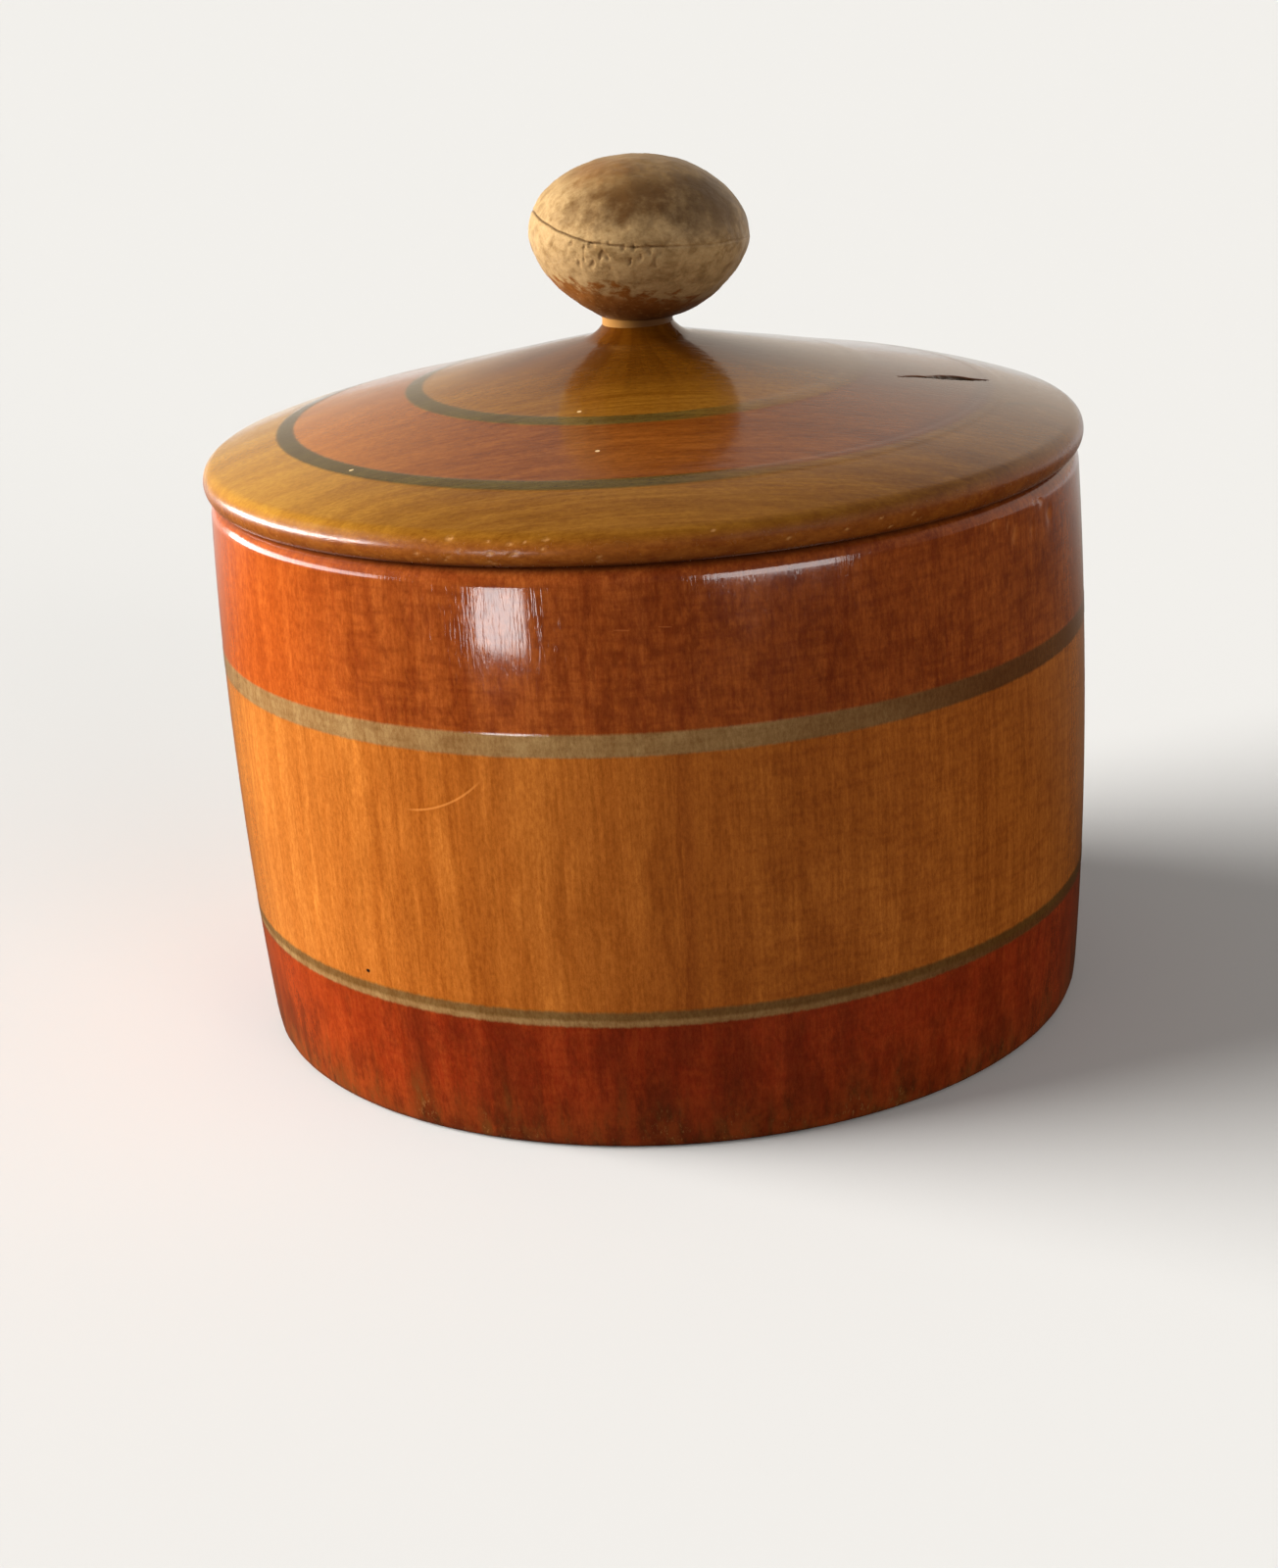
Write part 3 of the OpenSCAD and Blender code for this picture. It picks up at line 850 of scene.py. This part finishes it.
def lid_finish():
    """Yellow and red-brown rings round lying grain, with olive lines that fade to the right."""
    wood = Finish("stained_lid", pith=(0, 24, 20), along=(0.035, 1, 1), across=(1, 0.22, 0.22),
                  fleck=(0.45, 1, 1), ripple=(0.1, 1, 1))
    tree, grain, radius = wood.tree, wood.grain, wood.radius
    # Painted light: the left of the lid is painted paler, standing in for the daylight and sheen on it
    painted_light_left = fade_out(tree, wood.x, -46, -14)
    yellow = wood.between(grain["Fibres"], rgb(154, 104, 31), rgb(126, 80, 16))
    yellow = wood.between(grain["Streaks"], yellow, rgb(111, 65, 11), 0.4)
    yellow = wood.between(painted_light_left, yellow, rgb(195, 142, 44), 0.75)
    # Darker round the knob: partly the wood's own stain, partly painted shade and reflection of the knob
    near_knob = fade_out(tree, radius, 9, 24)
    yellow = wood.between(near_knob, yellow, rgb(87, 44, 3), 0.78)
    around = vector(tree, "NORMALIZE", wood.outward)
    runs = fade(tree, speckle(tree, around, 2.6, 4.0, 0.6, 0.8), 0.4, 0.66)
    yellow = wood.between(wood.both(runs, near_knob), yellow, rgb(76, 37, 3), 0.6)
    red = wood.between(grain["Fibres"], rgb(140, 78, 23), rgb(117, 57, 10))
    red = wood.between(grain["Flecks"], red, rgb(92, 40, 8), 0.35)
    red = wood.between(painted_light_left, red, rgb(208, 130, 42), 0.75)
    olive = wood.between(grain["Fibres"], rgb(96, 80, 34), rgb(78, 62, 23))
    wood.colour = yellow
    wood.lay(wood.band(radius, INNER_LINE[1], OUTER_LINE[0] + 0.8, bleed=0.6, fray=0.3), red)
    # The olive lines fade out towards the right
    lines_fade_right = fade(tree, wood.x, 0, 20, 1.0, 0.05)
    for line in (OUTER_LINE, INNER_LINE):
        wood.lay(wood.both(wood.band(radius, *line, bleed=0.5, fray=0.1), lines_fade_right), olive)
    smear = wood.band(radius, OUTER_LINE[0] - 1.2, OUTER_LINE[0] + 0.6, bleed=1.4, fray=0.4)
    wood.lay(wood.both(smear, fade(tree, wood.x, 14, 28)), rgb(96, 39, 11), 0.6)
    edge = fade_out(tree, wood.height, BODY_H + 1.8, BODY_H + 3.4)
    wood.lay(edge, wood.between(grain["Flecks"], rgb(151, 87, 28), rgb(131, 66, 15)))
    # Painted shade: the right of the lid is painted darker
    wood.darken(fade(tree, wood.x, 4, 40), rgb(226, 214, 196), 0.9)
    wood.darken(grain["Clouds"], rgb(212, 195, 175), 0.35)
    wood.darken(grain["Rings"], rgb(218, 200, 176), 0.4)
    wood.darken(grain["Grit"], rgb(214, 200, 182), 0.8)
    # Painted shade: the lid's seat on the body is painted dark
    wood.lay(fade_out(tree, wood.height, BODY_H + 0.1, BODY_H + 0.6), rgb(62, 30, 12), 0.75)
    inner = fade_out(tree, radius, MOUTH_R + 1, MOUTH_R + 1.8)
    below = fade_out(tree, wood.height, BODY_H + DISH_H + 0.3, BODY_H + DISH_H + 0.8)
    bare = wood.both(inner, below)
    wood.lay(bare, bare_wood(wood))
    wood.lay(wood.bowed(RIM_STREAK, 0.8), rgb(52, 36, 14), 0.6)
    torn = wood.between(grain["Fibres"], rgb(30, 17, 9), rgb(76, 50, 29))
    wood.lay(fade(tree, wood.mark("splits"), 0.02, 0.3), torn)
    for centre in LID_SPECKS:
        wood.lay(wood.spot(centre, (0.3, 0.25, 3)), rgb(241, 206, 149), 0.7)
    # Pale knocks on the rim: partly bare wood in the chips, partly painted glints
    chips_and_glints = wood.both(wood.mark("scuffs"), fade(tree, grain["Grit"], 0.1, 0.7))
    wood.lay(chips_and_glints, rgb(213, 156, 92), 0.6)
    return wood.lacquer(fade(tree, wood.height, BODY_H + 2.4, BODY_H + 4.2, 0.24, 0.08), bare)


def knob_finish():
    """Bare handled wood with the last of the lacquer in brown patches, and a dark scored line."""
    wood = Finish("worn_knob", pith=(0, 30, 70), along=(0.08, 1, 1), across=(1, 0.3, 0.3),
                  fleck=(0.7, 1, 1), ripple=(0.3, 1, 1))
    tree, grain = wood.tree, wood.grain
    handled = wood.between(grain["Flecks"], rgb(174, 143, 98), rgb(130, 101, 62))
    wood.colour = wood.between(grain["Grit"], handled, rgb(126, 92, 50), 0.4)
    front_patch = wood.spot((1.5, -9, 94.6), (11, 9, 4.6), ragged=1.5, lumps=0.3, soft=0.8)
    wood.lay(front_patch, rgb(82, 52, 22), 0.95)
    right_patch = wood.spot((9, -5.5, 92.5), (8, 10, 6.5), ragged=1.2, lumps=0.3, soft=0.8)
    wood.lay(right_patch, rgb(84, 60, 34), 0.9)
    wood.lay(fade(tree, wood.height, KNOB_TOP - 4, KNOB_TOP - 0.5), rgb(122, 90, 50), 0.6)
    top_patch = wood.spot((-3, -4, 97), (6, 6, 3), ragged=1.4, lumps=0.4, soft=0.8)
    wood.lay(top_patch, rgb(118, 76, 36), 0.6)
    back_patch = wood.spot((3, 8, 95), (9, 7, 5), ragged=1.5, lumps=0.35, soft=0.8)
    wood.lay(back_patch, rgb(104, 72, 40), 0.7)
    back_left_patch = wood.spot((-8, 9, 90), (6, 6, 4), ragged=1.5, lumps=0.4, soft=0.8)
    wood.lay(back_left_patch, rgb(120, 84, 46), 0.6)
    low = calc(tree, "MULTIPLY_ADD", grain["Flecks"], -2.4, wood.height)
    low = calc(tree, "MULTIPLY_ADD", wood.x, 0.2, low)
    wood.lay(fade_out(tree, low, LID_TOP + 3.2, LID_TOP + 4.7), rgb(126, 70, 18), 0.9)
    # Painted shade: the knob's underside above the collar is painted dark
    wood.lay(fade_out(tree, wood.height, LID_TOP + 0.8, LID_TOP + 5), rgb(76, 40, 10), 0.75)
    under_head = fade_out(tree, low, LID_TOP, LID_TOP + 5)
    worn = wood.both(fade(tree, grain["Grit"], 0.7, 0.95), under_head)
    wood.lay(worn, rgb(193, 156, 103), 0.6)
    wood.lay(wood.mark("pits"), rgb(122, 92, 58), 0.5)
    scored = wood.between(fade(tree, wood.x, -8, 1), rgb(56, 34, 18), rgb(98, 68, 40))
    wood.lay(wood.mark("score"), scored, 0.9)
    # Painted light and shade: the collar's bare wood is painted pale on the left and dark on the right
    ring = wood.between(fade(tree, wood.x, -3.5, 1.5), rgb(156, 110, 54), rgb(85, 52, 22))
    wood.lay(fade_out(tree, wood.height, LID_TOP + 0.9, LID_TOP + 1.3), ring)
    return wood.lacquer(0.46, bump_height=KNOB_BUMP)


for piece, node, body, slot, finish in (
        (jar_body, "body", "jar", "body_wood", body_finish()),
        (jar_lid, "lid", "cover", "lid_wood", lid_finish()),
        (jar_knob, "knob", "cover", "knob_wood", knob_finish())):
    piece.data.materials.append(finish)
    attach(piece, body)
    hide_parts(node)


def pale_floor():
    """A wide pale floor, clear from below and open under the foot, so that light reaches the underside."""
    mesh = bpy.data.meshes.new("floor")
    angles = np.linspace(0, 2 * math.pi, FLOOR_SIDES, endpoint=False)
    corners = [(reach * MM * math.cos(a), reach * MM * math.sin(a), 0)
               for reach in (FLOOR_HOLE_R, FLOOR_R) for a in angles]
    inner = list(range(FLOOR_SIDES))
    beside = inner[1:] + inner[:1]
    faces = [(i, i + FLOOR_SIDES, j + FLOOR_SIDES, j) for i, j in zip(inner, beside)]
    mesh.from_pydata(corners, [], faces)
    floor = bpy.data.objects.new("floor", mesh)
    bpy.context.scene.collection.objects.link(floor)
    paint = bpy.data.materials.new("floor_paint")
    paint.use_nodes = True
    tree = paint.node_tree
    shader = tree.nodes["Principled BSDF"]
    seen = add(tree, "ShaderNodeLightPath").outputs["Is Camera Ray"]
    place = add(tree, "ShaderNodeTexCoord").outputs["Object"]
    parts = add(tree, "ShaderNodeSeparateXYZ", {0: place}).outputs
    # The camera sees it pale, while the jar mirrors a darker floor in front of it
    pale = calc(tree, "MAXIMUM", seen, fade(tree, parts[1], 0.08, 0.4))
    shade = mix(tree, pale, rgb(96, 76, 60), rgb(212, 210, 206))
    tree.links.new(shade, shader.inputs["Base Color"])
    shader.inputs["Roughness"].default_value = 0.8
    shader.inputs["Specular IOR Level"].default_value = 0.0
    clear = add(tree, "ShaderNodeBsdfTransparent").outputs[0]
    back = add(tree, "ShaderNodeNewGeometry").outputs["Backfacing"]
    faced = add(tree, "ShaderNodeMixShader", {0: back, 1: shader.outputs[0], 2: clear}).outputs[0]
    tree.links.new(faced, tree.nodes["Material Output"].inputs["Surface"])
    mesh.materials.append(paint)


def studio_world(ambient):
    """Even light and a pale background; the lacquer mirrors a room that is dim in front of the jar."""
    world = bpy.data.worlds.new("studio")
    world.use_nodes = True
    bpy.context.scene.world = world
    tree = world.node_tree
    rays = add(tree, "ShaderNodeLightPath").outputs
    mirrored = calc(tree, "MAXIMUM", rays["Is Glossy Ray"], rays["Is Transmission Ray"])
    toward = add(tree, "ShaderNodeTexCoord").outputs["Generated"]
    parts = add(tree, "ShaderNodeSeparateXYZ", {0: toward}).outputs
    dim_front = fade(tree, parts[1], -0.5, 0.4, 0.12, 0.9)
    dim_left = fade(tree, parts[0], -0.4, 0.2, 0.55, 1.0)
    dim_above = fade(tree, parts[2], 0.4, 0.8, 1.0, 0.3)
    wall = calc(tree, "MULTIPLY", calc(tree, "MULTIPLY", dim_front, dim_left), dim_above)
    room = mix(tree, 1.0, rgb(255, 242, 226), wall, "MULTIPLY")
    light = tree.nodes["Background"]
    light.inputs["Color"].default_value = (1, 1, 1, 1)
    light.inputs["Strength"].default_value = ambient
    shade = mix(tree, mirrored, rgb(238, 236, 232), room)
    pale = add(tree, "ShaderNodeBackground", {"Color": shade, "Strength": 1.0}).outputs[0]
    shown = calc(tree, "MAXIMUM", rays["Is Camera Ray"], mirrored)
    both = add(tree, "ShaderNodeMixShader", {0: shown, 1: light.outputs[0], 2: pale}).outputs[0]
    tree.links.new(both, tree.nodes["World Output"].inputs["Surface"])


def soft_sun(name, toward, spread, strength):
    """An even light from far off without a highlight, from a direction and over a spread in degrees."""
    lamp = bpy.data.lights.new(name, "SUN")
    lamp.angle = math.radians(spread)
    lamp.energy = strength
    holder = bpy.data.objects.new(name, lamp)
    holder.rotation_mode = "QUATERNION"
    holder.rotation_quaternion = Vector(toward).to_track_quat("Z", "Y")
    holder.visible_glossy = False
    bpy.context.scene.collection.objects.link(holder)


def mirrored_window(name, pieces, place, aim, width, height, watts):
    """A bright panel that only some pieces mirror, at a place in metres and turned to its aim."""
    lamp = bpy.data.lights.new(name, "AREA")
    lamp.shape = "RECTANGLE"
    lamp.size = width
    lamp.size_y = height
    lamp.energy = watts
    holder = bpy.data.objects.new(name, lamp)
    holder.location = place
    holder.rotation_mode = "QUATERNION"
    holder.rotation_quaternion = (Vector(aim) - Vector(place)).to_track_quat("-Z", "Y")
    holder.visible_camera = False
    holder.visible_diffuse = False
    holder.light_linking.receiver_collection = bpy.data.collections.new(name)
    for shown_on in pieces:
        holder.light_linking.receiver_collection.objects.link(shown_on)
    bpy.context.scene.collection.objects.link(holder)


def camera_at_photo():
    """The camera at the photograph's viewing angle."""
    yaw, pitch, roll = (math.radians(a) for a in (CAMERA_YAW, CAMERA_PITCH, CAMERA_ROLL))
    ahead = Vector((math.sin(yaw) * math.cos(pitch), math.cos(yaw) * math.cos(pitch), -math.sin(pitch)))
    level = Vector((math.cos(yaw), -math.sin(yaw), 0))
    upright = level.cross(ahead)
    right = math.cos(roll) * level + math.sin(roll) * upright
    up = math.cos(roll) * upright - math.sin(roll) * level
    lens = bpy.data.cameras.new("camera")
    lens.lens = CAMERA_LENS
    lens.sensor_width = SENSOR_W
    lens.clip_start = CAMERA_NEAR * MM
    camera = bpy.data.objects.new("camera", lens)
    turned = Matrix((right, up, -ahead)).transposed().to_4x4()
    camera.matrix_world = Matrix.Translation(CAMERA_PLACE * MM) @ turned
    bpy.context.scene.collection.objects.link(camera)
    bpy.context.scene.camera = camera


pale_floor()
studio_world(ambient=0.25)
soft_sun("daylight", toward=(-0.965, 0.08, 0.25), spread=50, strength=11.8)
soft_sun("front_light", toward=(0.5, -0.84, 0.22), spread=26, strength=0.85)
soft_sun("fill", toward=(0.85, -0.45, 0.2), spread=60, strength=0.75)
mirrored_window("low_window", [jar_body, jar_lid], place=(-0.140, -0.205, 0.020),
                aim=(-0.015, -0.047, 0.06), width=0.05, height=0.021, watts=0.06)
mirrored_window("left_window", [jar_body], place=(-0.300, 0.041, 0.075), aim=(0, 0, 0.065),
                width=0.36, height=0.07, watts=0.9)
mirrored_window("right_window", [jar_body], place=(0.144, -0.263, 0.075), aim=(0, 0, 0.065),
                width=0.173, height=0.108, watts=0.6)
mirrored_window("rim_window", [jar_lid], place=(-0.300, 0.020, 0.065), aim=(0, 0, 0.065),
                width=0.3, height=0.03, watts=1.5)
camera_at_photo()
bpy.context.scene.view_settings.view_transform = "Standard"
